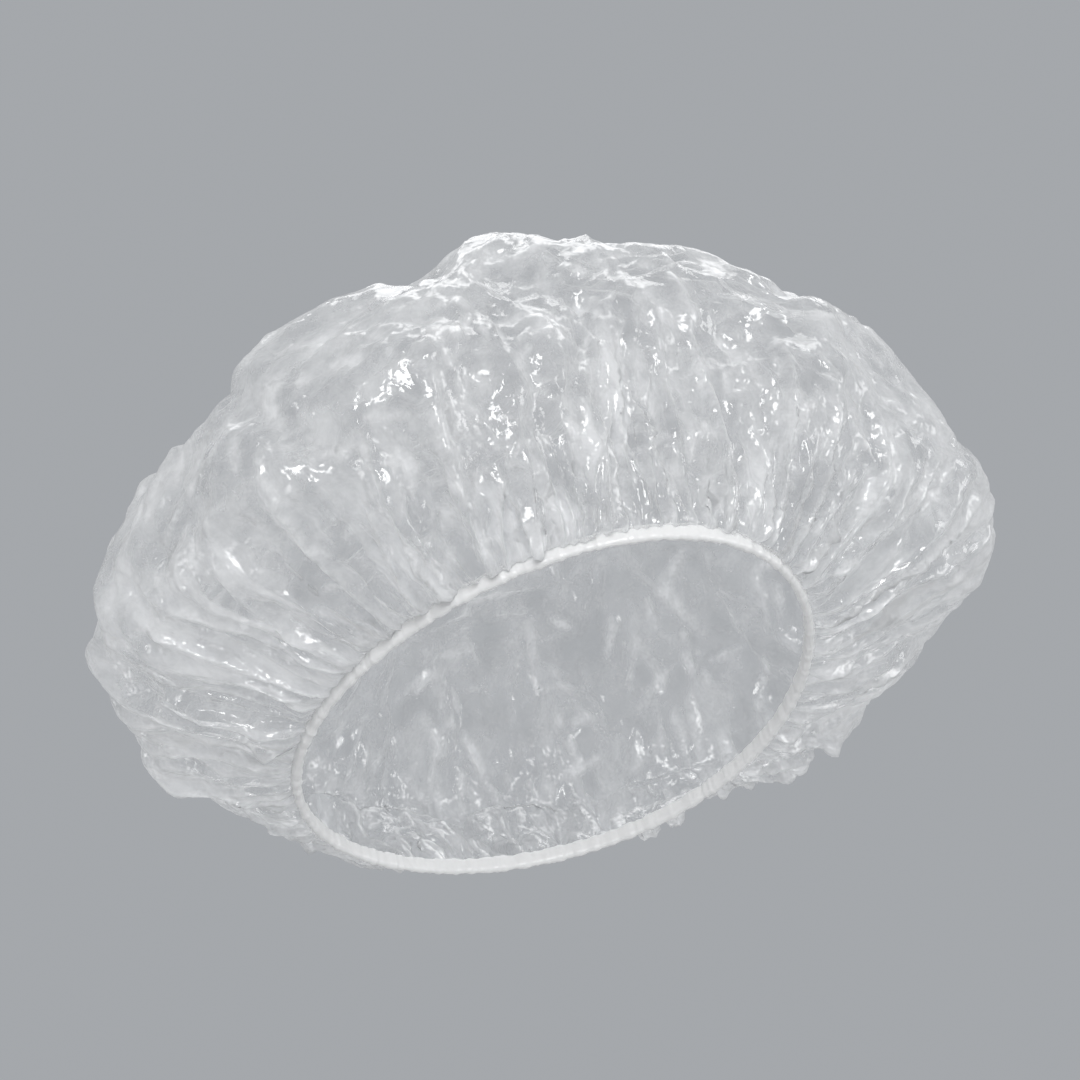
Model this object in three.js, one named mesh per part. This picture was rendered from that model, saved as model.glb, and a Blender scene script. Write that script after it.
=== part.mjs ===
// Clear film shower cap, in the shape it takes when it is worn.
// A round film is gathered into a narrow folded hem, and an elastic band inside the hem grips the head.
// The cap is shaped in the plane of its elastic, X to the wearer's left, Y to the nape, Z up into the crown.
// Then it is tilted as it sits on a head, with the front of the hem high and the nape low.
// The origin is the centre of the elastic loop. Lengths are millimetres.

import * as THREE from 'three';

// The oval of the elastic, along its middle line
const rimHalfWidth = 74;
const rimHalfLength = 93.5;
const rimNarrowFrontShare = 0.1;
const rimTilt = THREE.MathUtils.degToRad(45.6);

// The crown, measured from the plane of the elastic
const puffOverhang = 62;
const widestRise = 58;
const crownRise = 120;
const crownLead = 30;
const filmWall = 0.8;

// How the overhang and the height of the widest ring change at five places from the front to the nape
const overhangShares = [0.24, 0.81, 1, 0.74, 0.65];
const widestRiseShares = [1, 0.69, 0.62, 0.62, 0.72];

// How full the curve is at the same five places, 2 being a plain ellipse
const domePowers = [2.3, 2, 1.75, 1.6, 1.65];
const lipPowers = [2, 2.1, 2.2, 1.7, 1.5];

// Pleats that run up from the hem, uneven in place, height and length, and the broad swells of the puff
const pleatCount = 40;
const pleatDepth = 6;
const pleatFootWidth = 4.5;
const pleatHeadWidth = 11;
const pleatLean = 0.5;
const pleatStrayShare = 0.6;
const swellDepth = 8;
const swellSpans = [96, 68, 52];
const swellTurnShares = [0.06, 0.21, 0.4];

// Straight dents and ridges over the puff, with the lowest place and the least depth as shares
const dentCount = 60;
const dentDepth = 4;
const dentLengths = [40, 90];
const dentWidths = [10, 18];
const dentFootShare = 0.2;
const dentDepthShares = [0.4, 1];

// How high the pleats are, and where they end, rise and sink, as shares of the way from the hem to the crown
const pleatHeightShares = [0.6, 1];
const pleatEndShares = [0.14, 0.7];
const pleatGrowShares = [0, 0.1];
const pleatSinkShares = [0.1, 0.36];
const swellGrowShares = [0.1, 0.3];

// The folded hem, with the elastic in its channel and the edge of the film in its mouth
const hemWidth = 5;
const hemWall = 0.5;
const bandWidth = 3;
const bandThickness = 0.8;
const spliceLength = 9;
const spliceThickness = 1;
const spliceWidth = 2.6;
const clearance = 0.3;

// Numbers that scatter the pleats and dents
const scatterIndexTurn = 12.9898;
const scatterKindTurn = 78.233;
const scatterSpread = 43758.5453;

// Fineness of the faceted surfaces
const stepsAround = 4 * pleatCount;
const domeSteps = stepsAround / 2;
const hemSteps = 2 * pleatCount;
const hemRoundSteps = 4;
const lipEndShare = 0.3;
const lipRingShares = [0.06, 0.16, 0.3, 0.48, 0.72, 1];
const domeRings = 14;

const hemTop = hemWidth / 2;
const channelHalf = bandThickness / 2 + clearance;
const neckFoot = bandWidth / 2 + clearance;
const neckHead = hemTop + clearance + filmWall;

// An even, smooth curve through values at evenly spaced places from the front, 0, to the nape, pi
function along(values, angle) {
  const last = values.length - 1;
  const half = (index) => (index === 0 || index === last ? 0.5 : 1);
  let sum = 0;
  for (let wave = 0; wave <= last; wave += 1) {
    let weight = 0;
    values.forEach((value, place) => {
      weight += half(place) * value * Math.cos((Math.PI * wave * place) / last);
    });
    sum += (half(wave) * weight * 2 * Math.cos(wave * angle)) / last;
  }
  return sum;
}

// From 0 to 1, smoothly, between two shares of the way from the hem to the crown
function rising([from, to], travel) {
  return THREE.MathUtils.smoothstep(travel, from, to);
}

// The middle line of the elastic, angle 0 at the front and a quarter turn on the wearer's left
function rimPoint(angle) {
  const narrowing = 1 - rimNarrowFrontShare * Math.cos(angle);
  const x = rimHalfWidth * Math.sin(angle) * narrowing;
  return new THREE.Vector3(x, -rimHalfLength * Math.cos(angle), 0);
}

// A place beside that line: outward in its plane, and up from it
function besideRim(angle, outward, up) {
  const turn = 0.001;
  const run = rimPoint(angle + turn).sub(rimPoint(angle - turn)).normalize();
  const place = rimPoint(angle);
  return place.add(new THREE.Vector3(run.y * outward, -run.x * outward, up));
}

// The smooth puff without folds: the lip swells out from the hem, and the dome closes over it
function puffPoint(angle, travel) {
  const rim = rimPoint(angle);
  const reach = rim.length();
  const overhang = puffOverhang * along(overhangShares, angle);
  const rise = widestRise * along(widestRiseShares, angle);
  let outward = reach;
  let up = neckHead;
  let lead = 0;
  if (travel <= lipEndShare) {
    const turn = (travel / lipEndShare) * (Math.PI / 2);
    const power = 2 / along(lipPowers, angle);
    outward += overhang * Math.sin(turn) ** power;
    up += (rise - neckHead) * (1 - Math.cos(turn) ** power);
  } else {
    const turn = ((travel - lipEndShare) / (1 - lipEndShare)) * (Math.PI / 2);
    const power = 2 / along(domePowers, angle);
    outward = (reach + overhang) * Math.max(Math.cos(turn), 0) ** power;
    up = rise + (crownRise - rise) * Math.sin(turn) ** power;
    lead = crownLead * Math.sin(turn) ** 2;
  }
  return new THREE.Vector3((rim.x / reach) * outward, (rim.y / reach) * outward - lead, up);
}

// Three crossing rows of waves, from 0 on the crests to 1 in the hollows
function swellShare(point) {
  const waves = swellSpans.map((span, index) => {
    const turn = 2 * Math.PI * swellTurnShares[index];
    const across = point.x * Math.cos(turn) + (point.y + point.z) * Math.sin(turn);
    return (1 - Math.cos((2 * Math.PI * across) / span + index)) / 2;
  });
  return waves.reduce((sum, wave) => sum + wave, 0) / waves.length;
}

// A share that looks random, always the same for the same pair of whole numbers
function chance(index, kind) {
  const wave = scatterSpread * Math.sin(scatterIndexTurn * index + scatterKindTurn * kind);
  return wave - Math.floor(wave);
}

function between([low, high], share) {
  return low + (high - low) * share;
}

// How high the film stands on the pleats near a place, from 0 between them to 1 on the tallest crests
function pleatShare(angle, travel) {
  const reach = Math.hypot(...puffPoint(angle, travel).toArray().slice(0, 2));
  const width = between([pleatFootWidth, pleatHeadWidth], travel);
  let share = 0;
  for (let index = 0; index < pleatCount; index += 1) {
    const stray = pleatStrayShare * (chance(index, 1) - 1 / 2);
    const lean = pleatLean * (chance(index, 2) - 1 / 2) * travel;
    const turn = angle - lean - (2 * Math.PI * (index + stray)) / pleatCount;
    const aside = reach * Math.atan2(Math.sin(turn), Math.cos(turn));
    const end = between(pleatEndShares, chance(index, 3) ** 2);
    const height = between(pleatHeightShares, chance(index, 4)) * (1 - rising([end / 2, end], travel));
    share += height * Math.exp(-((aside / width) ** 2));
  }
  return Math.min(share, 1);
}

// Directions along the smooth puff at a place: up from the hem, and round it
function puffCourses(angle, travel) {
  const step = 0.002;
  const low = Math.max(travel - step, 0);
  const up = puffPoint(angle, low + 2 * step).sub(puffPoint(angle, low)).normalize();
  const run = puffPoint(angle + step, travel).sub(puffPoint(angle - step, travel)).normalize();
  return { up, run };
}

// The straight dents, and ridges as dents of negative depth, spread evenly over the puff
const dents = Array.from({ length: dentCount }, (_, index) => {
  const angle = 2 * Math.PI * chance(index, 5);
  const travel = between([dentFootShare, 1], (2 / Math.PI) * Math.asin(chance(index, 6)));
  const turn = Math.PI * chance(index, 7);
  const { up, run } = puffCourses(angle, travel);
  return {
    middle: puffPoint(angle, travel),
    course: up.multiplyScalar(Math.cos(turn)).addScaledVector(run, Math.sin(turn)),
    halfLength: between(dentLengths, chance(index, 8)) / 2,
    width: between(dentWidths, chance(index, 9)),
    depth: dentDepth * between(dentDepthShares, chance(index, 10)) * (index % 2 === 0 ? 1 : -1),
  };
});

// How far the dents lower a place on the smooth puff
function dentFall(point) {
  return dents.reduce((sum, dent) => {
    const away = point.clone().sub(dent.middle);
    const on = away.dot(dent.course);
    const aside = away.addScaledVector(dent.course, -on).length();
    const share = Math.max(1 - aside / dent.width, 0) * Math.max(1 - (on / dent.halfLength) ** 2, 0);
    return sum + dent.depth * share;
  }, 0);
}

// How far the film falls in from the smooth puff, between its pleats, in its swells and in its dents
function foldFall(angle, travel) {
  const depth = pleatDepth * rising(pleatGrowShares, travel) * (1 - rising(pleatSinkShares, travel));
  const point = puffPoint(angle, travel);
  const broad = swellDepth * swellShare(point) + dentFall(point);
  return depth * (1 - pleatShare(angle, travel)) + broad * rising(swellGrowShares, travel);
}

function filmPoint(angle, travel) {
  const { up, run } = puffCourses(angle, travel);
  const outward = run.cross(up).normalize();
  return puffPoint(angle, travel).addScaledVector(outward, -foldFall(angle, travel));
}

function ringOf(steps, pointAt) {
  return Array.from({ length: steps }, (_, step) => pointAt((2 * Math.PI * step) / steps));
}

// The middle surface of the film as rings of points from the hem upwards, and the middle of the crown
function filmRings() {
  const rings = [neckFoot, neckHead].map((up) => ringOf(stepsAround, (angle) => besideRim(angle, 0, up)));
  lipRingShares.forEach((share) => {
    rings.push(ringOf(stepsAround, (angle) => filmPoint(angle, share * lipEndShare)));
  });
  for (let ring = 1; ring <= domeRings; ring += 1) {
    const travel = between([lipEndShare, 1], ring / (domeRings + 1));
    rings.push(ringOf(domeSteps, (angle) => filmPoint(angle, travel)));
  }
  return { rings, top: filmPoint(0, 1) };
}

function solidFrom(points, faces) {
  const geometry = new THREE.BufferGeometry();
  geometry.setAttribute('position', new THREE.Float32BufferAttribute(points.flatMap((p) => p.toArray()), 3));
  geometry.setIndex(faces.flat());
  geometry.computeVertexNormals();
  return geometry;
}

// Faces of a dome of rings, where a ring has as many points as the one below it or half as many, and a fan
// round the point at the top
function domeFaces(rings) {
  const faces = [];
  let start = 0;
  rings.forEach((ring, index) => {
    const above = rings[index + 1] ?? [];
    const low = (step) => start + (step % ring.length);
    const high = (step) => start + ring.length + (above.length ? step % above.length : 0);
    const ratio = above.length ? ring.length / above.length : 1;
    const middle = Math.ceil(ratio / 2);
    for (let step = 0; step < ring.length; step += 1) {
      const part = step % ratio;
      const over = (step - part) / ratio + (part < middle ? 0 : 1);
      faces.push([low(step), low(step + 1), high(over)]);
    }
    above.forEach((_, step) => faces.push([low(ratio * step + middle), high(step + 1), high(step)]));
    start += ring.length;
  });
  return faces;
}

// The crown is one film wall, open at the hem
function filmCrownShape() {
  const { rings, top } = filmRings();
  const middle = [...rings.flat(), top];
  const faces = domeFaces(rings);
  const normals = solidFrom(middle, faces).getAttribute('normal');
  const shift = (side) => middle.map((point, index) => {
    const outward = new THREE.Vector3().fromBufferAttribute(normals, index);
    return point.clone().addScaledVector(outward, (side * filmWall) / 2);
  });
  const offset = middle.length;
  const closed = [...faces, ...faces.map(([a, b, c]) => [a + offset, c + offset, b + offset])];
  for (let step = 0; step < stepsAround; step += 1) {
    const next = (step + 1) % stepsAround;
    closed.push([step, step + offset, next + offset], [step, next + offset, next]);
  }
  return solidFrom([...shift(1), ...shift(-1)], closed);
}

// A section of [outward, up] points carried along the rim line, as a closed ring or with two flat ends
function sweptShape(section, angles, isRing) {
  const points = angles.flatMap((angle) => section.map(([outward, up]) => besideRim(angle, outward, up)));
  const count = section.length;
  const spans = isRing ? angles.length : angles.length - 1;
  const at = (span, place) => (span % angles.length) * count + (place % count);
  const faces = [];
  for (let span = 0; span < spans; span += 1) {
    for (let place = 0; place < count; place += 1) {
      faces.push([at(span, place), at(span + 1, place), at(span + 1, place + 1)]);
      faces.push([at(span, place), at(span + 1, place + 1), at(span, place + 1)]);
    }
  }
  if (!isRing) {
    const outline = section.map(([outward, up]) => new THREE.Vector2(outward, up));
    THREE.ShapeUtils.triangulateShape(outline, []).forEach(([a, b, c]) => {
      faces.push([at(0, a), at(0, b), at(0, c)]);
      faces.push([at(spans, a), at(spans, c), at(spans, b)]);
    });
  }
  return solidFrom(points, faces);
}

// The hem is one strip of film folded round the elastic, open upwards where the edge of the crown goes in
function hemSection() {
  const outer = channelHalf + hemWall;
  const section = [[outer, hemTop]];
  const round = (radius, centre, from, to) => {
    for (let step = 0; step <= hemRoundSteps; step += 1) {
      const turn = from + ((to - from) * step) / hemRoundSteps;
      section.push([radius * Math.cos(turn), centre + radius * Math.sin(turn)]);
    }
  };
  section.push([channelHalf, hemTop]);
  round(channelHalf, -hemTop + hemWall + channelHalf, 0, -Math.PI);
  section.push([-channelHalf, hemTop], [-outer, hemTop]);
  round(outer, -hemTop + outer, -Math.PI, 0);
  return section;
}

function hemCasingShape() {
  const angles = Array.from({ length: hemSteps }, (_, step) => (2 * Math.PI * step) / hemSteps);
  return sweptShape(hemSection(), angles, true);
}

function stripSection(width, thickness) {
  const half = thickness / 2;
  return [[half, width / 2], [-half, width / 2], [-half, -width / 2], [half, -width / 2]];
}

// Where the elastic stops, as an angle either side of the nape, for a length along the rim there
function napeAngle(length) {
  return Math.asin(length / 2 / (rimHalfWidth * (1 + rimNarrowFrontShare)));
}

function elasticBandShape() {
  const end = napeAngle(spliceLength + 2 * clearance);
  const from = end - Math.PI;
  const to = Math.PI - end;
  const angles = Array.from({ length: hemSteps + 1 }, (_, step) => from + ((to - from) * step) / hemSteps);
  return sweptShape(stripSection(bandWidth, bandThickness), angles, false);
}

// The two ends of the elastic, lapped at the nape and pressed flat into one short block
function elasticSpliceShape() {
  const end = napeAngle(spliceLength);
  const angles = [Math.PI - end, Math.PI, Math.PI + end];
  return sweptShape(stripSection(spliceWidth, spliceThickness), angles, false);
}

function piece(name, geometry, color, roughness) {
  const mesh = new THREE.Mesh(geometry, new THREE.MeshStandardMaterial({ color, roughness, metalness: 0 }));
  mesh.name = name;
  return mesh;
}

const cap = new THREE.Group();
cap.rotation.x = -rimTilt;
cap.add(piece('film_crown', filmCrownShape(), 0xe6eaec, 0.22));
cap.add(piece('hem_casing', hemCasingShape(), 0xf0ece6, 0.4));
cap.add(piece('elastic_band', elasticBandShape(), 0xe9e2d3, 0.75));
cap.add(piece('elastic_splice', elasticSpliceShape(), 0xdfd6c4, 0.7));

export default cap;
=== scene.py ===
import math

import bpy
import numpy as np
from mathutils import Matrix, Vector


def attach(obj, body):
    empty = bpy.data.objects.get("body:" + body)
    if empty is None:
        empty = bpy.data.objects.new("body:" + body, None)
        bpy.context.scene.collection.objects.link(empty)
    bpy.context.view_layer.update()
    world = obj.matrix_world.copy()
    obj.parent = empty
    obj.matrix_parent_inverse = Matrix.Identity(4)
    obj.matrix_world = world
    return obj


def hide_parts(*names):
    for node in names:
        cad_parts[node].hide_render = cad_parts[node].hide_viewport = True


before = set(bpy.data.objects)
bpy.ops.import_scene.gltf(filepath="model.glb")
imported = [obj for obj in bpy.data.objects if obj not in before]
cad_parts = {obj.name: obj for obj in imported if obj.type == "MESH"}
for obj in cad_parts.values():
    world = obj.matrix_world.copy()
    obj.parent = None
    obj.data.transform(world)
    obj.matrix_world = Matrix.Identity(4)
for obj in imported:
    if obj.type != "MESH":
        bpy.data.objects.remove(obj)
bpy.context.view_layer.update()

# The finished look of a clear film shower cap, in metres, in the frame of its solids.
# The cap is shaped in the plane of its elastic, X to the wearer's left, Y to the nape, Z up into the crown,
# and then tilted as it sits on a head. The origin is the centre of the elastic loop.

# The oval of the elastic
RIM_HALF_WIDTH = 0.074
RIM_HALF_LENGTH = 0.0935
RIM_NARROW_FRONT_SHARE = 0.1
RIM_TILT = math.radians(45.6)

# The crown, measured from the plane of the elastic
PUFF_OVERHANG = 0.062
WIDEST_RISE = 0.058
CROWN_RISE = 0.12
CROWN_LEAD = 0.03
OVERHANG_SHARES = (0.24, 0.81, 1, 0.74, 0.65)
WIDEST_RISE_SHARES = (1, 0.69, 0.62, 0.62, 0.72)
DOME_POWERS = (2.3, 2, 1.75, 1.6, 1.65)
LIP_POWERS = (2, 2.1, 2.2, 1.7, 1.5)
LIP_END_SHARE = 0.3
NECK_FOOT = 0.0018

# The film as it is cut, and how it is modelled: a coarse net settles, and a net twice as fine is creased
FLAT_DIAMETER = 0.5
SETTLED_RINGS = 90
SETTLE_FRAMES = 20
SLACK_SHARE = 0.055
FORM_HOLD = 0.2
SMOOTH_SHARE = 0.5
RIM_TABLE_STEPS = 4000
TRAVEL_TABLE_STEPS = 240

# The point of the crown is rounded off over this share of the way to the hem
TOP_ROUND_SHARE = 0.2
TOP_ROUND_PASSES = 30
TOP_SMOOTH_SHARE = 0.8

# The main pleats that run up from the hem, uneven in place, height and length
PLEAT_COUNT = 40
PLEAT_DEPTH = 0.006
PLEAT_FOOT_WIDTH = 0.0045
PLEAT_HEAD_WIDTH = 0.011
PLEAT_LEAN = 0.5
PLEAT_STRAY_SHARE = 0.6
PLEAT_HEIGHT_SHARES = (0.6, 1)
PLEAT_END_SHARES = (0.14, 0.7)
PLEAT_GROW_SHARES = (0, 0.1)
PLEAT_SINK_SHARES = (0.1, 0.36)

# The main dents and ridges over the puff, with the lowest place and the least depth as shares
DENT_COUNT = 60
DENT_DEPTH = 0.004
DENT_LENGTHS = (0.04, 0.09)
DENT_WIDTHS = (0.01, 0.018)
DENT_FOOT_SHARE = 0.2
DENT_DEPTH_SHARES = (0.4, 1)

# Numbers that scatter the main pleats and dents
SCATTER_INDEX_TURN = 12.9898
SCATTER_KIND_TURN = 78.233
SCATTER_SPREAD = 43758.5453

# The broad swells of the puff
SWELL_DEPTH = 0.008
SWELL_SPANS = (0.096, 0.068, 0.052)
SWELL_TURN_SHARES = (0.06, 0.21, 0.4)
SWELL_GROW_SHARES = (0.1, 0.3)

# The finer gathers between the main pleats, each with its own place, length, height, width and lean
GATHER_COUNT = 150
GATHER_SEED = 7
GATHER_STRAY_SHARE = 0.4
GATHER_LENGTHS = (0.02, 0.1)
GATHER_HEIGHTS = (0.0024, 0.0054)
GATHER_FOOT_WIDTH = 0.0012
GATHER_WIDTH_SHARES = (0.8, 1.3)
GATHER_SPREAD_SHARE = 0.016
GATHER_LEAN_SHARE = 0.2
GATHER_CREST_POWER = 1.4
GATHER_FADE_SHARE = 0.4

# How the gathers start at the hem, and where the film sinks between them, as distances from the hem
GATHER_FOOT_SHARE = 0.3
GATHER_FOOT_RUN = 0.008
GATHER_SINK_RUN = 0.01
GATHER_SINK_FADE = (0.02, 0.06)

# Creases in the film as it lies flat, from large to small: how many, how long, how wide and how high, the
# share of them that run up from the hem, and the seed
SMALL_DENTS = (160, (0.025, 0.06), (0.006, 0.014), (0.0008, 0.0022), 0.5, 11)
CREASES = (1200, (0.012, 0.036), (0.0026, 0.0048), (0.0003, 0.0011), 0.5, 4)
CRINKLES = (2600, (0.005, 0.016), (0.0014, 0.003), (0.00012, 0.00045), 0.4, 5)

# How far in radians such a crease strays from straight up, and how far from the hem creases and dents begin
CREASE_TURN = 0.45
CREASE_RUN = 0.008
DENT_RUN = (0.01, 0.04)

# Facets too small for the net, as pairs of how many there are in a metre and how far they tilt the normal
FILM_FACETS = ((110, 0.3), (260, 0.24), (600, 0.16))
STREAK_FACETS = ((150, 0.5), (420, 0.45), (800, 0.25))
STREAK_STRETCH_SHARE = 0.12
STREAK_RADII = (0.15, 0.21)

# How clear the film is between its cloudiest and its clearest places, and how much its folds whiten it
FILM_CLEAR_SHARES = (0.64, 0.92)
STREAK_WHITE_SHARE = 0.6
FOLD_WHITE_POWER = 1.7
FOLD_WHITE_SHARES = (0.3, 0.8)
LEAST_CLEAR_SHARE = 0.1

# How the film takes light, and how far its facets and streaks are bent out of true
FILM_COLOR = (0.94, 0.95, 0.96, 1)
FILM_IOR = 1.8
LEAST_COSINE = 0.15
MOST_SHINE = 0.25
WOBBLE_REACH = 0.016

# The hem
HEM_WIDTH = 0.005
HEM_THICKNESS = 0.0024
HEM_ROUND_SHARE = 0.48
HEM_STATIONS = 1200
HEM_LINE_POINTS = 240
PUCKER_SPAN = 0.0032
PUCKER_DEPTH = 0.0004

# The camera, at the photograph's angle
CAMERA_AZIMUTH = math.radians(-26)
CAMERA_ELEVATION = math.radians(9)
CAMERA_ROLL = math.radians(8)
CAMERA_DISTANCE = 1.2
CAMERA_AIM = Vector((0.0, 0.03, 0.045))
FRAME_SIDE = 0.325

# The studio
FLOOR_DROP = 0.26
FLOOR_SIDE = 300
FLOOR_COLOR = (0.6, 0.6, 0.6, 1)
BACKDROP_COLOR = (0.375, 0.39, 0.41, 1)
WORLD_STRENGTHS = (0.38, 0.72)

# The lamps, each with its place, width and power
LAMPS = {
    "key": ((-0.9, -1.3, 1.1), 0.9, 20),
    "fill": ((1.4, -0.9, 0.5), 0.9, 7),
    "back": ((0.6, 1.4, 1.2), 1.5, 13),
}


def along(values, angle):
    """An even, smooth curve through values at evenly spaced places from the front to the nape."""
    last = len(values) - 1
    half = [0.5 if place in (0, last) else 1 for place in range(last + 1)]
    total = 0
    for wave in range(last + 1):
        weight = sum(half[p] * value * math.cos(math.pi * wave * p / last) for p, value in enumerate(values))
        total = total + half[wave] * weight * 2 / last * np.cos(wave * angle)
    return total


def rising(start, end, value):
    share = np.clip((value - start) / (end - start), 0, 1)
    return share * share * (3 - 2 * share)


def rim_points(angle):
    narrowing = 1 - RIM_NARROW_FRONT_SHARE * np.cos(angle)
    flat = np.stack([RIM_HALF_WIDTH * np.sin(angle) * narrowing, -RIM_HALF_LENGTH * np.cos(angle)], -1)
    return np.concatenate([flat, np.zeros((*flat.shape[:-1], 1))], -1)


def puff_points(angle, travel):
    """The smooth puff: the lip swells out from the hem, and the dome closes over it."""
    rim = rim_points(angle)
    reach = np.linalg.norm(rim, axis=-1)
    overhang = PUFF_OVERHANG * along(OVERHANG_SHARES, angle)
    rise = WIDEST_RISE * along(WIDEST_RISE_SHARES, angle)
    lip_turn = np.clip(travel / LIP_END_SHARE, 0, 1) * math.pi / 2
    lip_power = 2 / along(LIP_POWERS, angle)
    lip_out = reach + overhang * np.sin(lip_turn) ** lip_power
    lip_up = NECK_FOOT + (rise - NECK_FOOT) * (1 - np.clip(np.cos(lip_turn), 0, 1) ** lip_power)
    turn = np.clip((travel - LIP_END_SHARE) / (1 - LIP_END_SHARE), 0, 1) * math.pi / 2
    power = 2 / along(DOME_POWERS, angle)
    dome_out = (reach + overhang) * np.clip(np.cos(turn), 0, 1) ** power
    dome_up = rise + (CROWN_RISE - rise) * np.sin(turn) ** power
    in_lip = travel <= LIP_END_SHARE
    outward = np.where(in_lip, lip_out, dome_out)
    up = np.where(in_lip, lip_up, dome_up)
    lead = np.where(in_lip, 0, CROWN_LEAD * np.sin(turn) ** 2)
    return np.stack([rim[..., 0] / reach * outward, rim[..., 1] / reach * outward - lead, up], -1)


def worn(points):
    """Tilts points from the plane of the elastic to the way the cap is worn."""
    cos, sin = math.cos(RIM_TILT), math.sin(RIM_TILT)
    x, y, z = points[..., 0], points[..., 1], points[..., 2]
    return np.stack([x, cos * y + sin * z, -sin * y + cos * z], -1)


def rim_angles(place):
    """The angle at each share of the length of the rim."""
    angles = np.linspace(0, 2 * math.pi, RIM_TABLE_STEPS + 1)
    steps = np.linalg.norm(np.diff(rim_points(angles), axis=0), axis=1)
    run = np.concatenate([[0], np.cumsum(steps)])
    return np.interp(place, run / run[-1], angles)


def even_travel(angle, share):
    """The travel at each share of the film's length from hem to crown, and that length, at each angle."""
    angles = np.linspace(0, 2 * math.pi, TRAVEL_TABLE_STEPS + 1)
    travels = np.linspace(0, 1, TRAVEL_TABLE_STEPS + 1)
    points = puff_points(*np.meshgrid(angles, travels, indexing="ij"))
    steps = np.linalg.norm(np.diff(points, axis=1), axis=2)
    run = np.concatenate([np.zeros((len(angles), 1)), np.cumsum(steps, axis=1)], axis=1)
    table = np.stack([np.interp(travels, row / row[-1], travels) for row in run])
    column = angle / (2 * math.pi) * (len(angles) - 1)
    row = share * (len(travels) - 1)
    i = np.minimum(column.astype(int), len(angles) - 2)
    j = np.minimum(row.astype(int), len(travels) - 2)
    across, on = column - i, row - j
    near = table[i, j] * (1 - on) + table[i, j + 1] * on
    far = table[i + 1, j] * (1 - on) + table[i + 1, j + 1] * on
    return near * (1 - across) + far * across, np.interp(angle, angles, run[:, -1])


def ring_starts(rings):
    return [0] + [1 + 3 * ring * (ring - 1) for ring in range(1, rings + 2)]


def disc_places(rings):
    """An even net on a disc, 6 k points on ring k: the ring of each point, and its share of the way round."""
    ring = np.concatenate([[0]] + [np.full(6 * k, k) for k in range(1, rings + 1)])
    place = np.concatenate([[0.0]] + [np.arange(6 * k) / (6 * k) for k in range(1, rings + 1)])
    return ring, place


def disc_faces(rings):
    first = ring_starts(rings)
    faces = []
    for k in range(1, rings + 1):
        for side in range(6):
            for step in range(k):
                outer = first[k] + side * k + step
                after = first[k] + (side * k + step + 1) % (6 * k)
                inner = first[k - 1] + (side * (k - 1) + step) % max(6 * (k - 1), 1)
                faces.append((outer, after, inner))
                if step < k - 1:
                    ahead = first[k - 1] + (side * (k - 1) + step + 1) % (6 * (k - 1))
                    faces.append((inner, after, ahead))
    return faces


def doubled(points, rings):
    """The points of a net twice as fine, each new one halfway between two of the old."""
    first = ring_starts(rings)
    low, high = [0], [0]
    for ring in range(1, 2 * rings + 1):
        for side in range(6):
            for step in range(ring):
                ends = []
                for k, t in ((ring // 2, step // 2), ((ring + 1) // 2, (step + 1) // 2)):
                    ends.append(first[k] + (side * k + t) % max(6 * k, 1))
                low.append(ends[0])
                high.append(ends[1])
    return (points[low] + points[high]) / 2


def smoothed(points, faces, held, share):
    """Each point moves part of the way to the middle of its neighbours, apart from those that are held."""
    corners = np.array(faces)
    total = np.zeros_like(points)
    count = np.zeros(len(points))
    for a, b in ((0, 1), (1, 2), (2, 0)):
        for one, other in ((a, b), (b, a)):
            np.add.at(total, corners[:, one], points[corners[:, other]])
            np.add.at(count, corners[:, one], 1)
    moved = points + share * (total / count[:, None] - points)
    moved[held] = points[held]
    return moved


def unit(vectors):
    return vectors / np.maximum(np.linalg.norm(vectors, axis=-1, keepdims=True), 1e-12)


def vertex_normals(points, faces):
    corners = np.array(faces)
    first, second, third = points[corners].transpose(1, 0, 2)
    across = np.cross(second - first, third - first)
    normals = np.zeros_like(points)
    for corner in range(3):
        np.add.at(normals, corners[:, corner], across)
    return unit(normals)


def flat_places(ring, place):
    """Where each point of the net lies on the film before it is gathered."""
    radius = ring / ring.max() * FLAT_DIAMETER / 2
    return np.stack([radius * np.cos(2 * math.pi * place), radius * np.sin(2 * math.pi * place)], -1)


def chance(index, kind):
    """A share that looks random, always the same for the same pair of whole numbers."""
    wave = SCATTER_SPREAD * math.sin(SCATTER_INDEX_TURN * index + SCATTER_KIND_TURN * kind)
    return wave - math.floor(wave)


def between(span, share):
    return span[0] + (span[1] - span[0]) * share


def pleat_share(angle, travel, reach):
    """How high the film stands on the main pleats, from 0 between them to 1 on the tallest crests."""
    width = between((PLEAT_FOOT_WIDTH, PLEAT_HEAD_WIDTH), travel)
    share = np.zeros(len(angle))
    for index in range(PLEAT_COUNT):
        stray = PLEAT_STRAY_SHARE * (chance(index, 1) - 0.5)
        lean = PLEAT_LEAN * (chance(index, 2) - 0.5) * travel
        turn = angle - lean - 2 * math.pi * (index + stray) / PLEAT_COUNT
        aside = reach * np.arctan2(np.sin(turn), np.cos(turn))
        end = between(PLEAT_END_SHARES, chance(index, 3) ** 2)
        height = between(PLEAT_HEIGHT_SHARES, chance(index, 4)) * (1 - rising(end / 2, end, travel))
        share += height * np.exp(-(aside / width) ** 2)
    return np.minimum(share, 1)


def puff_courses(angle, travel):
    """Directions along the smooth puff: up from the hem, and round it."""
    step = 0.002
    low = np.maximum(travel - step, 0)
    up = puff_points(angle, low + 2 * step) - puff_points(angle, low)
    run = puff_points(angle + step, travel) - puff_points(angle - step, travel)
    return unit(up), unit(run)


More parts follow.
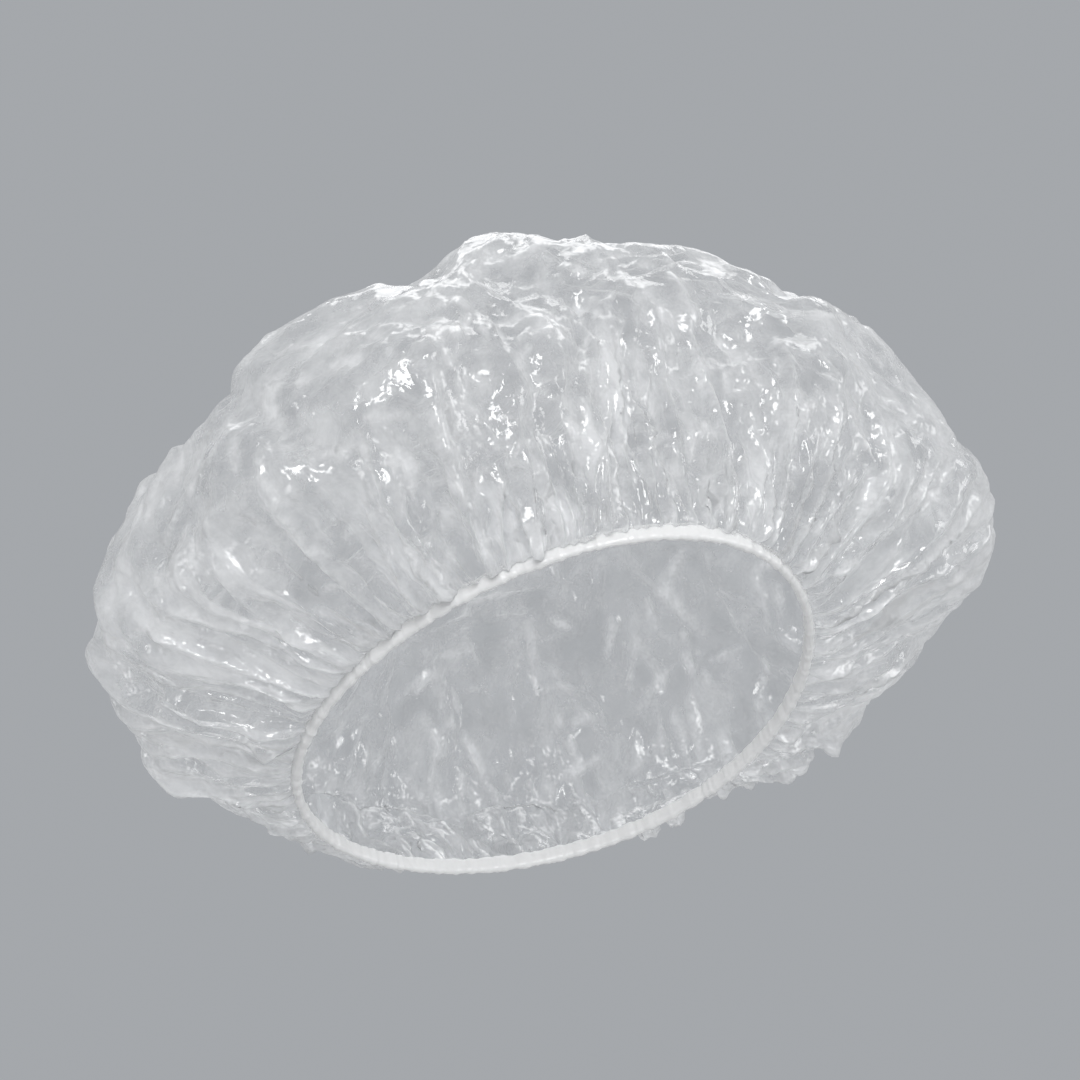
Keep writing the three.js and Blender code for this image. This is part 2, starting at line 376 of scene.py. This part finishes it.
def dent_fall(points):
    """How far the main dents lower each place on the smooth puff. Every other one is a ridge."""
    total = np.zeros(len(points))
    for index in range(DENT_COUNT):
        angle = np.array([2 * math.pi * chance(index, 5)])
        travel = np.array([between((DENT_FOOT_SHARE, 1), 2 / math.pi * math.asin(chance(index, 6)))])
        turn = math.pi * chance(index, 7)
        up, run = puff_courses(angle, travel)
        course = up[0] * math.cos(turn) + run[0] * math.sin(turn)
        half_length = between(DENT_LENGTHS, chance(index, 8)) / 2
        width = between(DENT_WIDTHS, chance(index, 9))
        depth = DENT_DEPTH * between(DENT_DEPTH_SHARES, chance(index, 10)) * (-1) ** index
        away = points - puff_points(angle, travel)[0]
        on = away @ course
        aside = np.linalg.norm(away - on[:, None] * course, axis=1)
        total += depth * np.clip(1 - aside / width, 0, 1) * np.clip(1 - (on / half_length) ** 2, 0, 1)
    return total


def fold_fall(angle, travel, points):
    """How far the film falls in from the smooth puff, between its main pleats, in its swells and dents."""
    depth = PLEAT_DEPTH * rising(*PLEAT_GROW_SHARES, travel) * (1 - rising(*PLEAT_SINK_SHARES, travel))
    reach = np.hypot(points[:, 0], points[:, 1])
    broad = SWELL_DEPTH * swell_share(points) + dent_fall(points)
    return depth * (1 - pleat_share(angle, travel, reach)) + broad * rising(*SWELL_GROW_SHARES, travel)


def gathers(place, from_hem, girth):
    """Finer gathers that rise at the hem, widen, and fade out each at its own length."""
    dice = np.random.default_rng(GATHER_SEED)
    height = np.zeros(len(place))
    for number in range(GATHER_COUNT):
        centre = (number + dice.uniform(-GATHER_STRAY_SHARE, GATHER_STRAY_SHARE)) / GATHER_COUNT
        length = between(GATHER_LENGTHS, dice.uniform() ** 2)
        lean = dice.normal(0, GATHER_LEAN_SHARE)
        tall = between(GATHER_HEIGHTS, dice.uniform() ** 2)
        width = (GATHER_FOOT_WIDTH + GATHER_SPREAD_SHARE * from_hem) * dice.uniform(*GATHER_WIDTH_SHARES)
        aside = ((place - centre + 0.5) % 1 - 0.5) * girth - lean * from_hem * rising(0, length, from_hem)
        foot = GATHER_FOOT_SHARE + (1 - GATHER_FOOT_SHARE) * rising(0, GATHER_FOOT_RUN, from_hem)
        fade = 1 - rising(length * GATHER_FADE_SHARE, length, from_hem)
        height += tall * foot * np.exp(-np.abs(aside / width) ** GATHER_CREST_POWER) * fade
    sink = rising(0, GATHER_SINK_RUN, from_hem) * (1 - rising(*GATHER_SINK_FADE, from_hem))
    return height - GATHER_HEIGHTS[0] * sink


def creased(flat, kind):
    """Straight tent-shaped creases scattered over the flat film, some running from the hem to the crown."""
    count, lengths, widths, heights, radial_share, seed = kind
    dice = np.random.default_rng(seed)
    total = np.zeros(len(flat))
    for _ in range(count):
        radius = FLAT_DIAMETER / 2 * math.sqrt(dice.uniform())
        bearing = dice.uniform(0, 2 * math.pi)
        centre = radius * np.array([math.cos(bearing), math.sin(bearing)])
        if dice.uniform() < radial_share:
            course = bearing + dice.normal(0, CREASE_TURN)
        else:
            course = dice.uniform(0, math.pi)
        half_length = dice.uniform(*lengths) / 2
        width = dice.uniform(*widths)
        height = dice.uniform(*heights) * dice.choice((-1, 1))
        near = np.nonzero(np.abs(flat - centre).max(axis=1) < half_length + width)[0]
        offset = flat[near] - centre
        on = offset @ np.array([math.cos(course), math.sin(course)])
        off = offset @ np.array([-math.sin(course), math.cos(course)])
        tent = np.clip(1 - np.abs(off) / width, 0, 1) * np.clip(1 - (on / half_length) ** 2, 0, 1)
        total[near] += height * tent
    return total


def swell_share(points):
    total = 0
    for index, (span, turn_share) in enumerate(zip(SWELL_SPANS, SWELL_TURN_SHARES)):
        turn = 2 * math.pi * turn_share
        across = points[..., 0] * math.cos(turn) + (points[..., 1] + points[..., 2]) * math.sin(turn)
        total = total + (1 - np.cos(2 * math.pi * across / span + index)) / 2
    return total / len(SWELL_SPANS)


def rounded_top(points, ring):
    """The middle of the crown, with its point rounded off."""
    faces = disc_faces(int(ring.max()))
    share = TOP_SMOOTH_SHARE * (1 - rising(0, TOP_ROUND_SHARE * ring.max(), ring))
    for _ in range(TOP_ROUND_PASSES):
        points = smoothed(points, faces, ring == ring.max(), share[:, None])
    return points


def film_run(ring, place):
    """The angle and the travel of each point of the net, and how far along the film it is from the hem."""
    angle = rim_angles(place)
    share = 1 - ring / ring.max()
    travel, length = even_travel(angle, share)
    return angle, travel, share * length


def girths(points, ring):
    """The length of the ring of the net that each point is on."""
    around = np.linalg.norm(points - np.roll(points, 1, axis=0), axis=1)
    return np.array([around[ring == k][1:].mean() * 6 * k if k else 0 for k in range(ring.max() + 1)])[ring]


def gathered_film(ring, place):
    """The film in its main form, before it settles."""
    angle, travel, from_hem = film_run(ring, place)
    points = puff_points(angle, travel)
    up, run = puff_courses(angle, travel)
    outward = unit(np.cross(run, up))
    outward[ring == 0] = (0, 0, 1)
    dents = creased(flat_places(ring, place), SMALL_DENTS) * rising(*DENT_RUN, from_hem)
    points = points + outward * (dents - fold_fall(angle, travel, points))[:, None]
    return worn(rounded_top(points, ring))


def make_piece(name, points, faces):
    mesh = bpy.data.meshes.new(name)
    mesh.from_pydata(points.tolist(), [], faces)
    mesh.polygons.foreach_set("use_smooth", [True] * len(mesh.polygons))
    mesh.update()
    piece = bpy.data.objects.new(name, mesh)
    bpy.context.scene.collection.objects.link(piece)
    return piece


def settled(points, faces, pinned):
    """The film, a little longer every way than the space it fills, crumples as cloth. Its rim is held."""
    piece = make_piece("settling_film", points, faces)
    held = piece.vertex_groups.new(name="held")
    held.add(list(range(len(points))), FORM_HOLD, "REPLACE")
    held.add([int(index) for index in pinned], 1.0, "REPLACE")
    cloth = piece.modifiers.new("settle", "CLOTH")
    film = cloth.settings
    film.quality = 5
    film.mass = 0.002
    film.tension_stiffness = 40
    film.compression_stiffness = 40
    film.shear_stiffness = 20
    film.bending_stiffness = 0.05
    film.bending_damping = 0.5
    film.vertex_group_mass = "held"
    film.shrink_min = -SLACK_SHARE
    film.effector_weights.gravity = 0
    cloth.collision_settings.use_collision = False
    scene = bpy.context.scene
    for number in range(1, SETTLE_FRAMES + 1):
        scene.frame_set(number)
    result = piece.evaluated_get(bpy.context.evaluated_depsgraph_get()).data
    moved = np.empty(3 * len(points))
    result.vertices.foreach_get("co", moved)
    mesh = piece.data
    bpy.data.objects.remove(piece)
    bpy.data.meshes.remove(mesh)
    scene.frame_set(1)
    return moved.reshape(-1, 3)


def film_folds(flat, place, from_hem, girth):
    """How far the creases and gathers lift each point of the film, and the share to which they whiten it."""
    creases = creased(flat, CREASES)
    gathered = gathers(place, from_hem, girth)
    tallest = CREASES[3][1]
    white = np.clip(np.abs(creases) / tallest, 0, 1) ** FOLD_WHITE_POWER
    white += np.clip(gathered / GATHER_HEIGHTS[1], 0, 1)
    lift = (creases + creased(flat, CRINKLES)) * rising(0, CREASE_RUN, from_hem) + gathered
    return lift, np.clip(white, 0, 1)


def film_cap():
    ring, place = disc_places(SETTLED_RINGS)
    coarse = settled(gathered_film(ring, place), disc_faces(SETTLED_RINGS), np.nonzero(ring == ring.max())[0])
    points = doubled(coarse, SETTLED_RINGS)
    ring, place = disc_places(2 * SETTLED_RINGS)
    faces = disc_faces(2 * SETTLED_RINGS)
    held = ring == ring.max()
    points = rounded_top(smoothed(points, faces, held, SMOOTH_SHARE), ring)
    flat = flat_places(ring, place)
    lift, white = film_folds(flat, place, film_run(ring, place)[2], girths(points, ring))
    points += vertex_normals(points, faces) * lift[:, None]
    film = make_piece("film_cap", points, faces)
    film.data.attributes.new("fold_white", "FLOAT", "POINT").data.foreach_set("value", white)
    uv = film.data.uv_layers.new(name="flat_film")
    loops = np.empty(len(film.data.loops), dtype=int)
    film.data.loops.foreach_get("vertex_index", loops)
    uv.data.foreach_set("uv", flat[loops].ravel())
    film.data.materials.append(film_material())
    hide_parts("film_crown")
    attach(film, "root")
    return film


def add_node(tree, kind, values=(), **settings):
    """Adds a node with its settings, and values for its inputs by name or number."""
    made = tree.nodes.new(kind)
    for name, setting in settings.items():
        setattr(made, name, setting)
    for name, value in dict(values).items():
        made.inputs[name].default_value = value
    return made


def new_material(name):
    material = bpy.data.materials.new(name)
    material.use_nodes = True
    material.node_tree.nodes.clear()
    return material, material.node_tree


def film_surface(tree, normal, clear_share, glow_share, roughness):
    """Film that is clear face on and milky edge on, with light scattered through and off it, and a gloss."""
    link = tree.links.new
    view = add_node(tree, "ShaderNodeLayerWeight", {"Blend": 0.5})
    link(normal, view.inputs["Normal"])
    cosine = add_node(tree, "ShaderNodeMath", {0: 1.0}, operation="SUBTRACT")
    link(view.outputs["Facing"], cosine.inputs[1])
    limited = add_node(tree, "ShaderNodeMath", {1: LEAST_COSINE}, operation="MAXIMUM")
    link(cosine.outputs[0], limited.inputs[0])
    path = add_node(tree, "ShaderNodeMath", {0: 1.0}, operation="DIVIDE")
    link(limited.outputs[0], path.inputs[1])
    through = add_node(tree, "ShaderNodeMath", {0: clear_share}, operation="POWER")
    link(path.outputs[0], through.inputs[1])
    clear = add_node(tree, "ShaderNodeBsdfTransparent")
    haze = add_node(tree, "ShaderNodeBsdfDiffuse", {"Color": FILM_COLOR})
    glow = add_node(tree, "ShaderNodeBsdfTranslucent", {"Color": FILM_COLOR})
    milk = add_node(tree, "ShaderNodeMixShader", {0: glow_share})
    link(haze.outputs[0], milk.inputs[1])
    link(glow.outputs[0], milk.inputs[2])
    body = add_node(tree, "ShaderNodeMixShader")
    link(through.outputs[0], body.inputs[0])
    link(milk.outputs[0], body.inputs[1])
    link(clear.outputs[0], body.inputs[2])
    gloss = add_node(tree, "ShaderNodeBsdfGlossy", {"Roughness": roughness})
    fresnel = add_node(tree, "ShaderNodeFresnel", {"IOR": FILM_IOR})
    shine = add_node(tree, "ShaderNodeMath", {1: MOST_SHINE}, operation="MINIMUM")
    link(fresnel.outputs[0], shine.inputs[0])
    for shader in (haze, gloss, fresnel):
        link(normal, shader.inputs["Normal"])
    whole = add_node(tree, "ShaderNodeMixShader")
    link(shine.outputs[0], whole.inputs[0])
    link(body.outputs[0], whole.inputs[1])
    link(gloss.outputs[0], whole.inputs[2])
    output = add_node(tree, "ShaderNodeOutputMaterial")
    link(whole.outputs[0], output.inputs["Surface"])
    return through


def facet_tilts(tree, spot, facets):
    """Small flat facets of several sizes, each tilted its own way, as one vector to add to a normal."""
    total = None
    for scale, tilt in facets:
        cell = add_node(tree, "ShaderNodeTexVoronoi", {"Scale": scale})
        tree.links.new(spot, cell.inputs["Vector"])
        centred = add_node(tree, "ShaderNodeVectorMath", {1: (0.5, 0.5, 0.5)}, operation="SUBTRACT")
        tree.links.new(cell.outputs["Color"], centred.inputs[0])
        tilted = add_node(tree, "ShaderNodeVectorMath", {"Scale": tilt}, operation="SCALE")
        tree.links.new(centred.outputs[0], tilted.inputs[0])
        if total is None:
            total = tilted.outputs[0]
        else:
            both = add_node(tree, "ShaderNodeVectorMath", operation="ADD")
            tree.links.new(total, both.inputs[0])
            tree.links.new(tilted.outputs[0], both.inputs[1])
            total = both.outputs[0]
    return total


def film_places(tree, flat):
    """The place on the flat film, the same drawn out from the hem upwards, and how near the hem it is."""
    link = tree.links.new
    wobble = add_node(tree, "ShaderNodeTexNoise", {"Scale": 60.0, "Detail": 2.0})
    link(flat, wobble.inputs["Vector"])
    centred = add_node(tree, "ShaderNodeVectorMath", {1: (0.5, 0.5, 0.5)}, operation="SUBTRACT")
    link(wobble.outputs["Color"], centred.inputs[0])
    bent = add_node(tree, "ShaderNodeVectorMath", {"Scale": WOBBLE_REACH}, operation="SCALE")
    link(centred.outputs[0], bent.inputs[0])
    spot = add_node(tree, "ShaderNodeVectorMath", operation="ADD")
    link(flat, spot.inputs[0])
    link(bent.outputs[0], spot.inputs[1])
    radius = add_node(tree, "ShaderNodeVectorMath", operation="LENGTH")
    link(spot.outputs[0], radius.inputs[0])
    bearing = add_node(tree, "ShaderNodeVectorMath", operation="NORMALIZE")
    link(spot.outputs[0], bearing.inputs[0])
    round_rim = add_node(tree, "ShaderNodeVectorMath", {"Scale": RIM_HALF_WIDTH}, operation="SCALE")
    link(bearing.outputs[0], round_rim.inputs[0])
    along_film = add_node(tree, "ShaderNodeMath", {1: STREAK_STRETCH_SHARE}, operation="MULTIPLY")
    link(radius.outputs["Value"], along_film.inputs[0])
    upward = add_node(tree, "ShaderNodeCombineXYZ")
    link(along_film.outputs[0], upward.inputs["Z"])
    long_spot = add_node(tree, "ShaderNodeVectorMath", operation="ADD")
    link(round_rim.outputs[0], long_spot.inputs[0])
    link(upward.outputs[0], long_spot.inputs[1])
    clear, full = STREAK_RADII
    near_hem = add_node(tree, "ShaderNodeMapRange", {"From Min": clear, "From Max": full})
    link(radius.outputs["Value"], near_hem.inputs["Value"])
    return spot.outputs[0], long_spot.outputs[0], near_hem.outputs["Result"]


def film_normal(tree, spot, long_spot, near_hem):
    """The film's normal with its facets: round ones all over, and long ones that run up from the hem."""
    link = tree.links.new
    faded = add_node(tree, "ShaderNodeVectorMath", operation="SCALE")
    link(facet_tilts(tree, long_spot, STREAK_FACETS), faded.inputs[0])
    link(near_hem, faded.inputs["Scale"])
    tilts = add_node(tree, "ShaderNodeVectorMath", operation="ADD")
    link(facet_tilts(tree, spot, FILM_FACETS), tilts.inputs[0])
    link(faded.outputs[0], tilts.inputs[1])
    surface = add_node(tree, "ShaderNodeNewGeometry")
    tilted = add_node(tree, "ShaderNodeVectorMath", operation="ADD")
    link(surface.outputs["Normal"], tilted.inputs[0])
    link(tilts.outputs[0], tilted.inputs[1])
    normal = add_node(tree, "ShaderNodeVectorMath", operation="NORMALIZE")
    link(tilted.outputs[0], normal.inputs[0])
    return normal.outputs[0]


def film_material():
    """Cloudy film, with whiter streaks where its gathers are dense."""
    material, tree = new_material("clear_crinkled_film")
    link = tree.links.new
    flat = add_node(tree, "ShaderNodeUVMap", uv_map="flat_film").outputs["UV"]
    spot, long_spot, near_hem = film_places(tree, flat)
    normal = film_normal(tree, spot, long_spot, near_hem)
    through = film_surface(tree, normal, clear_share=FILM_CLEAR_SHARES[1], glow_share=0.5, roughness=0.14)
    cloud = add_node(tree, "ShaderNodeTexNoise", {"Scale": 42.0, "Detail": 5.0, "Roughness": 0.6})
    link(flat, cloud.inputs["Vector"])
    low, high = FILM_CLEAR_SHARES
    cloudy = add_node(tree, "ShaderNodeMapRange",
                      {"From Min": 0.36, "From Max": 0.6, "To Min": low, "To Max": high})
    link(cloud.outputs["Fac"], cloudy.inputs["Value"])
    streak = add_node(tree, "ShaderNodeTexNoise", {"Scale": 130.0, "Detail": 3.0, "Roughness": 0.6})
    link(long_spot, streak.inputs["Vector"])
    white = add_node(tree, "ShaderNodeMapRange",
                     {"From Min": 0.48, "From Max": 0.7, "To Min": 0.0, "To Max": STREAK_WHITE_SHARE})
    link(streak.outputs["Fac"], white.inputs["Value"])
    faded = add_node(tree, "ShaderNodeMath", operation="MULTIPLY")
    link(white.outputs["Result"], faded.inputs[0])
    link(near_hem, faded.inputs[1])
    folds = add_node(tree, "ShaderNodeAttribute", attribute_name="fold_white")
    fine = add_node(tree, "ShaderNodeTexNoise", {"Scale": 240.0, "Detail": 2.0})
    link(flat, fine.inputs["Vector"])
    low, high = FOLD_WHITE_SHARES
    uneven = add_node(tree, "ShaderNodeMapRange",
                      {"From Min": 0.35, "From Max": 0.65, "To Min": low, "To Max": high})
    link(fine.outputs["Fac"], uneven.inputs["Value"])
    folded = add_node(tree, "ShaderNodeMath", operation="MULTIPLY_ADD")
    link(folds.outputs["Fac"], folded.inputs[0])
    link(uneven.outputs["Result"], folded.inputs[1])
    link(faded.outputs[0], folded.inputs[2])
    share = add_node(tree, "ShaderNodeMath", operation="SUBTRACT")
    link(cloudy.outputs["Result"], share.inputs[0])
    link(folded.outputs[0], share.inputs[1])
    least = add_node(tree, "ShaderNodeMath", {1: LEAST_CLEAR_SHARE}, operation="MAXIMUM")
    link(share.outputs[0], least.inputs[0])
    link(least.outputs[0], through.inputs[0])
    return material


def hem_material():
    material, tree = new_material("folded_hem_film")
    place = add_node(tree, "ShaderNodeTexCoord")
    fine = add_node(tree, "ShaderNodeTexNoise", {"Scale": 900.0, "Detail": 2.0})
    tree.links.new(place.outputs["Object"], fine.inputs["Vector"])
    bump = add_node(tree, "ShaderNodeBump", {"Strength": 0.4, "Distance": 0.0004})
    tree.links.new(fine.outputs["Fac"], bump.inputs["Height"])
    film_surface(tree, bump.outputs["Normal"], clear_share=0.04, glow_share=0.25, roughness=0.3)
    return material


def elastic_material():
    material, tree = new_material("stretched_elastic")
    place = add_node(tree, "ShaderNodeTexCoord")
    grain = add_node(tree, "ShaderNodeTexNoise", {"Scale": 1400.0, "Detail": 3.0})
    tree.links.new(place.outputs["Object"], grain.inputs["Vector"])
    tint = add_node(tree, "ShaderNodeValToRGB")
    tint.color_ramp.elements[0].color = (0.66, 0.62, 0.54, 1)
    tint.color_ramp.elements[1].color = (0.86, 0.83, 0.76, 1)
    tree.links.new(grain.outputs["Fac"], tint.inputs["Fac"])
    bump = add_node(tree, "ShaderNodeBump", {"Strength": 0.5, "Distance": 0.0003})
    tree.links.new(grain.outputs["Fac"], bump.inputs["Height"])
    rubber = add_node(tree, "ShaderNodeBsdfPrincipled", {"Roughness": 0.68})
    tree.links.new(tint.outputs["Color"], rubber.inputs["Base Color"])
    tree.links.new(bump.outputs["Normal"], rubber.inputs["Normal"])
    output = add_node(tree, "ShaderNodeOutputMaterial")
    tree.links.new(rubber.outputs[0], output.inputs["Surface"])
    return material


def hem_tree(material):
    """A flat tube along a line, puckered across: each pucker is a dent or a ridge right round the tube."""
    tree = bpy.data.node_groups.new("puckered_hem", "GeometryNodeTree")
    face = tree.interface
    face.new_socket("Geometry", in_out="INPUT", socket_type="NodeSocketGeometry")
    for name in ("Width", "Thickness", "Pucker span", "Pucker depth"):
        face.new_socket(name, in_out="INPUT", socket_type="NodeSocketFloat")
    face.new_socket("Stations", in_out="INPUT", socket_type="NodeSocketInt")
    face.new_socket("Up", in_out="INPUT", socket_type="NodeSocketVector")
    face.new_socket("Geometry", in_out="OUTPUT", socket_type="NodeSocketGeometry")
    link = tree.links.new
    given = add_node(tree, "NodeGroupInput")
    line = add_node(tree, "GeometryNodeMeshToCurve")
    link(given.outputs["Geometry"], line.inputs["Mesh"])
    even = add_node(tree, "GeometryNodeResampleCurve", mode="COUNT")
    link(line.outputs["Curve"], even.inputs["Curve"])
    link(given.outputs["Stations"], even.inputs["Count"])
    upright = add_node(tree, "GeometryNodeSetCurveNormal", mode="FREE")
    link(even.outputs["Curve"], upright.inputs["Curve"])
    link(given.outputs["Up"], upright.inputs["Normal"])
    spot = add_node(tree, "GeometryNodeInputPosition")
    kept = add_node(tree, "GeometryNodeCaptureAttribute")
    kept.capture_items.new("VECTOR", "Spot")
    link(upright.outputs["Curve"], kept.inputs["Geometry"])
    link(spot.outputs["Position"], kept.inputs["Spot"])
    section = add_node(tree, "GeometryNodeCurvePrimitiveQuadrilateral", mode="RECTANGLE")
    link(given.outputs["Width"], section.inputs["Width"])
    link(given.outputs["Thickness"], section.inputs["Height"])
    radius = add_node(tree, "ShaderNodeMath", {1: HEM_ROUND_SHARE}, operation="MULTIPLY")
    link(given.outputs["Thickness"], radius.inputs[0])
    rounded = add_node(tree, "GeometryNodeFilletCurve", {"Count": 4}, mode="POLY")
    link(section.outputs["Curve"], rounded.inputs["Curve"])
    link(radius.outputs[0], rounded.inputs["Radius"])
    tube = add_node(tree, "GeometryNodeCurveToMesh")
    link(kept.outputs["Geometry"], tube.inputs["Curve"])
    link(rounded.outputs["Curve"], tube.inputs["Profile Curve"])
    fineness = add_node(tree, "ShaderNodeMath", {0: 1.0}, operation="DIVIDE")
    link(given.outputs["Pucker span"], fineness.inputs[1])
    noise = add_node(tree, "ShaderNodeTexNoise", {"Detail": 1.5, "Roughness": 0.6})
    link(kept.outputs["Spot"], noise.inputs["Vector"])
    link(fineness.outputs[0], noise.inputs["Scale"])
    level = add_node(tree, "ShaderNodeMapRange",
                     {"From Min": 0.25, "From Max": 0.75, "To Min": -1.0, "To Max": 1.0})
    link(noise.outputs["Fac"], level.inputs["Value"])
    depth = add_node(tree, "ShaderNodeMath", operation="MULTIPLY")
    link(level.outputs["Result"], depth.inputs[0])
    link(given.outputs["Pucker depth"], depth.inputs[1])
    normal = add_node(tree, "GeometryNodeInputNormal")
    push = add_node(tree, "ShaderNodeVectorMath", operation="SCALE")
    link(normal.outputs["Normal"], push.inputs[0])
    link(depth.outputs[0], push.inputs["Scale"])
    moved = add_node(tree, "GeometryNodeSetPosition")
    link(tube.outputs["Mesh"], moved.inputs["Geometry"])
    link(push.outputs[0], moved.inputs["Offset"])
    smooth = add_node(tree, "GeometryNodeSetShadeSmooth")
    link(moved.outputs["Geometry"], smooth.inputs["Geometry"])
    real = add_node(tree, "GeometryNodeRealizeInstances")
    link(smooth.outputs["Geometry"], real.inputs["Geometry"])
    dressed = add_node(tree, "GeometryNodeSetMaterial", {"Material": material})
    link(real.outputs["Geometry"], dressed.inputs["Geometry"])
    result = add_node(tree, "NodeGroupOutput")
    link(dressed.outputs["Geometry"], result.inputs["Geometry"])
    return tree


def puckered_hem():
    """The hem follows the elastic all the way round."""
    points = worn(rim_points(rim_angles(np.arange(HEM_LINE_POINTS) / HEM_LINE_POINTS)))
    line = bpy.data.meshes.new("hem_line")
    ends = [(step, (step + 1) % HEM_LINE_POINTS) for step in range(HEM_LINE_POINTS)]
    line.from_pydata(points.tolist(), ends, [])
    piece = bpy.data.objects.new("folded_hem", line)
    bpy.context.scene.collection.objects.link(piece)
    tree = hem_tree(hem_material())
    modifier = piece.modifiers.new("hem", "NODES")
    modifier.node_group = tree
    values = {"Width": HEM_WIDTH, "Thickness": HEM_THICKNESS, "Pucker span": PUCKER_SPAN,
              "Pucker depth": PUCKER_DEPTH, "Stations": HEM_STATIONS,
              "Up": [float(v) for v in worn(np.array([0.0, 0.0, 1.0]))]}
    for socket in tree.interface.items_tree:
        if socket.in_out == "INPUT" and socket.name in values:
            modifier[socket.identifier] = values[socket.name]
    made = bpy.data.meshes.new_from_object(piece.evaluated_get(bpy.context.evaluated_depsgraph_get()))
    piece.modifiers.remove(modifier)
    piece.data = made
    made.name = "folded_hem"
    bpy.data.meshes.remove(line)
    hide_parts("hem_casing")
    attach(piece, "root")
    return piece


def dress_elastic():
    material = elastic_material()
    for name in ("elastic_band", "elastic_splice"):
        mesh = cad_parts[name].data
        mesh.materials.clear()
        mesh.materials.append(material)


def flat_to_camera(tree, lit, color, output):
    """What the camera sees is one plain colour, in gloss and through film too. The rest is lit as usual."""
    rays = add_node(tree, "ShaderNodeLightPath")
    seen = rays.outputs["Is Camera Ray"]
    for ray in ("Is Glossy Ray", "Is Transmission Ray"):
        either = add_node(tree, "ShaderNodeMath", operation="MAXIMUM")
        tree.links.new(seen, either.inputs[0])
        tree.links.new(rays.outputs[ray], either.inputs[1])
        seen = either.outputs[0]
    plain = add_node(tree, "ShaderNodeEmission", {"Color": color})
    mix = add_node(tree, "ShaderNodeMixShader")
    tree.links.new(seen, mix.inputs[0])
    tree.links.new(lit.outputs[0], mix.inputs[1])
    tree.links.new(plain.outputs[0], mix.inputs[2])
    tree.links.new(mix.outputs[0], output.inputs["Surface"])


def studio_floor():
    half = FLOOR_SIDE / 2
    corners = np.array([(-half, -half, -FLOOR_DROP), (half, -half, -FLOOR_DROP), (half, half, -FLOOR_DROP),
                        (-half, half, -FLOOR_DROP)])
    floor = make_piece("floor", corners, [(0, 1, 2, 3)])
    material, tree = new_material("pale_floor")
    lit = add_node(tree, "ShaderNodeBsdfDiffuse", {"Color": FLOOR_COLOR})
    flat_to_camera(tree, lit, BACKDROP_COLOR, add_node(tree, "ShaderNodeOutputMaterial"))
    floor.data.materials.append(material)


def studio_world():
    world = bpy.data.worlds.new("studio")
    bpy.context.scene.world = world
    world.use_nodes = True
    tree = world.node_tree
    tree.nodes.clear()
    place = add_node(tree, "ShaderNodeTexCoord")
    split = add_node(tree, "ShaderNodeSeparateXYZ")
    tree.links.new(place.outputs["Generated"], split.inputs[0])
    low, high = WORLD_STRENGTHS
    height = add_node(tree, "ShaderNodeMapRange",
                      {"From Min": -0.2, "From Max": 0.9, "To Min": low, "To Max": high})
    tree.links.new(split.outputs["Z"], height.inputs["Value"])
    lit = add_node(tree, "ShaderNodeBackground", {"Color": (1, 1, 1, 1)})
    tree.links.new(height.outputs["Result"], lit.inputs["Strength"])
    flat_to_camera(tree, lit, BACKDROP_COLOR, add_node(tree, "ShaderNodeOutputWorld"))


def soft_light(name, place, size, power):
    data = bpy.data.lights.new(name, "AREA")
    data.shape = "DISK"
    data.size = size
    data.energy = power
    lamp = bpy.data.objects.new(name, data)
    bpy.context.scene.collection.objects.link(lamp)
    lamp.location = place
    lamp.rotation_euler = (CAMERA_AIM - Vector(place)).to_track_quat("-Z", "Y").to_euler()


def camera():
    data = bpy.data.cameras.new("camera")
    data.lens = data.sensor_width * CAMERA_DISTANCE / FRAME_SIDE
    view = bpy.data.objects.new("camera", data)
    bpy.context.scene.collection.objects.link(view)
    cos, sin, level = math.cos(CAMERA_AZIMUTH), math.sin(CAMERA_AZIMUTH), math.cos(CAMERA_ELEVATION)
    back = Vector((sin * level, -cos * level, math.sin(CAMERA_ELEVATION)))
    right = Vector((cos, sin, 0))
    turn = Matrix((right, back.cross(right), back)).transposed().to_4x4()
    place = Matrix.Translation(CAMERA_AIM + back * CAMERA_DISTANCE)
    view.matrix_world = place @ turn @ Matrix.Rotation(CAMERA_ROLL, 4, "Z")
    bpy.context.scene.camera = view


camera()
studio_floor()
studio_world()
for name, (place, size, power) in LAMPS.items():
    soft_light(name, place, size, power)
hem = puckered_hem()
film = film_cap()
dress_elastic()

scene = bpy.context.scene
scene.view_settings.view_transform = "Standard"
scene.cycles.transparent_max_bounces = 32
